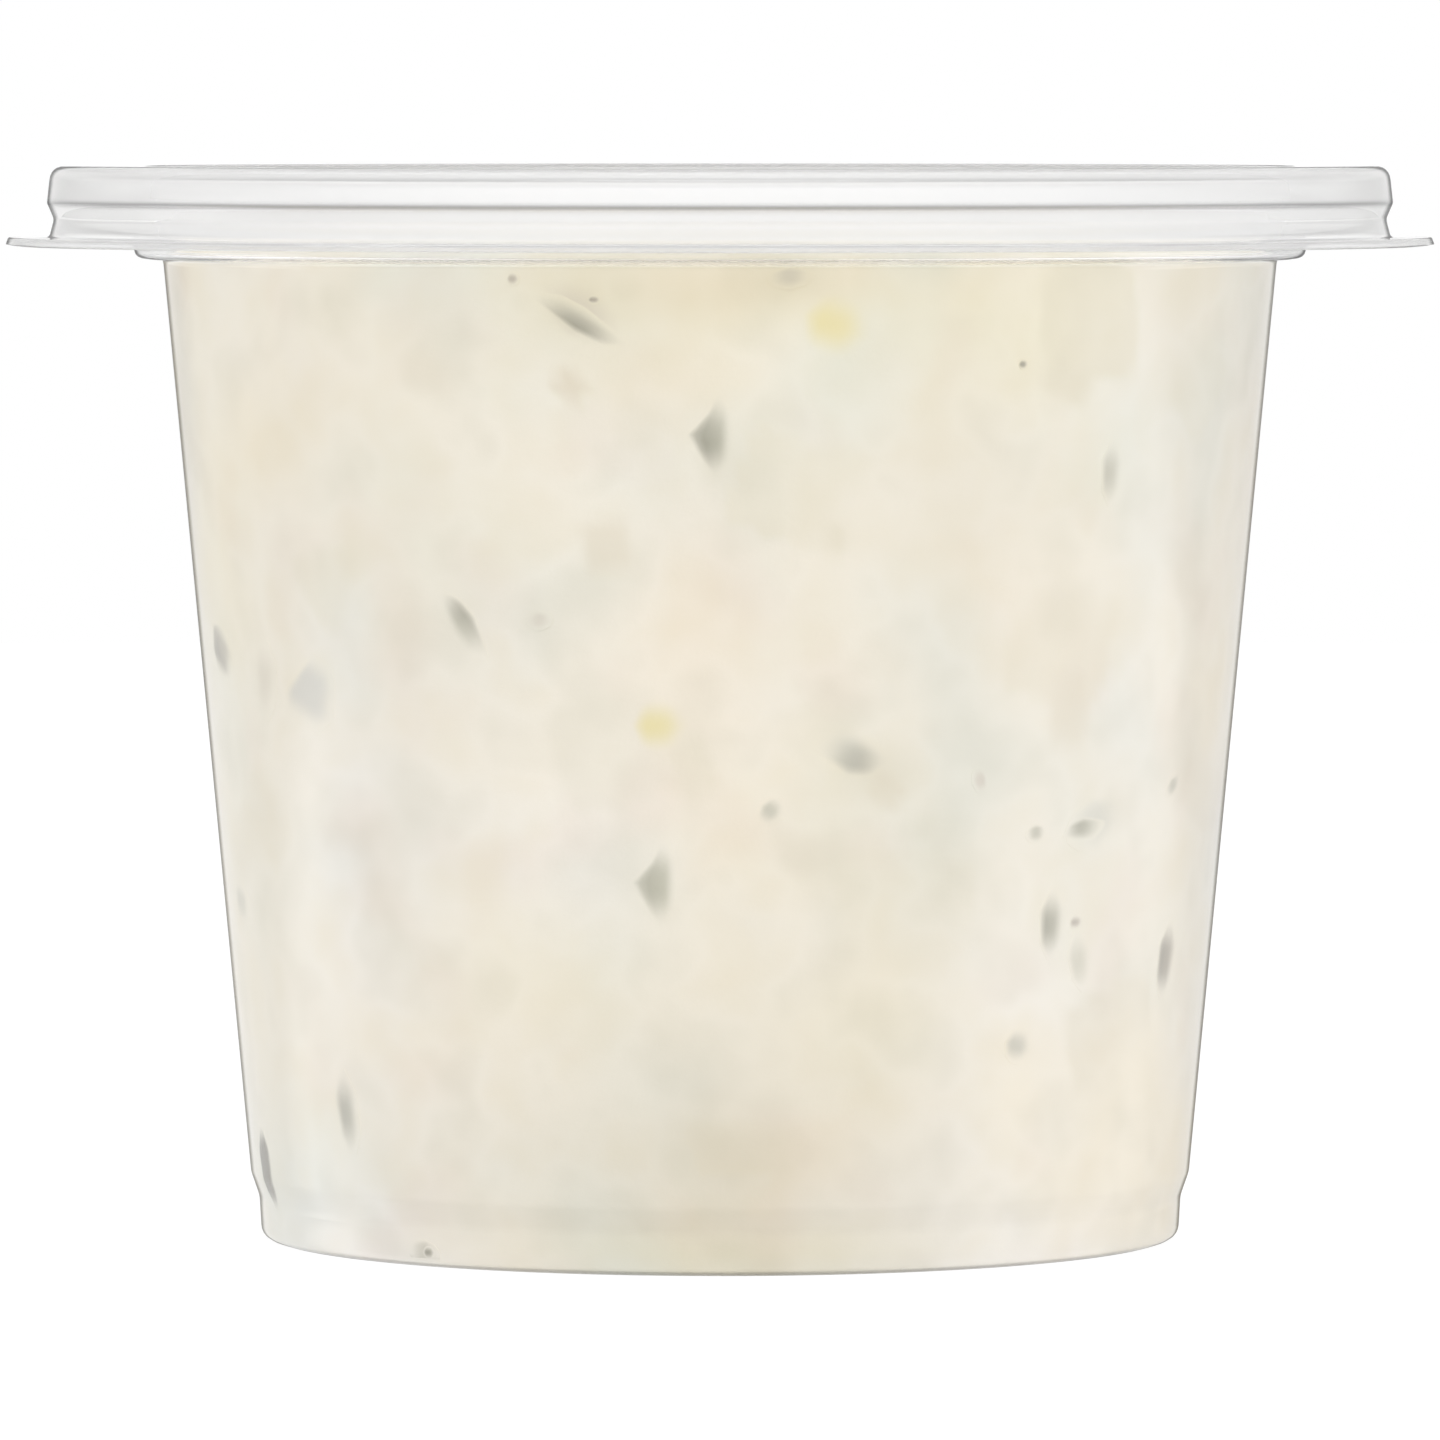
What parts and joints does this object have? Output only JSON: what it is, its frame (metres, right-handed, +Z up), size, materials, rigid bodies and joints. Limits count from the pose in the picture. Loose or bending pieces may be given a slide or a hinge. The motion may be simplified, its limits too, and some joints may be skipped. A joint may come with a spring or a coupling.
{
  "type": "potato salad in a shut clear tub",
  "caption": "Creamy potato salad with potato dice, herb flecks and yolk bits in a shut, clear, round plastic tub with a push-on lid.",
  "frame": {"origin": "centre of the foot that the tub stands on", "axes": "+Z up through the lid, -Y towards the side that the picture shows, +X to its right"},
  "size_m": [0.124, 0.124, 0.0931],
  "materials": {
    "tub_plastic": "clear, smooth, thin formed plastic",
    "lid_plastic": "clear, smooth, thin formed plastic",
    "dressed_salad": "moist cream dressing over potato, with grey-green flecks and pale yellow bits"
  },
  "bodies": {
    "root": {"tub": "tub_plastic", "lid": "lid_plastic", "potato_salad": "dressed_salad"}
  },
  "joints": []
}
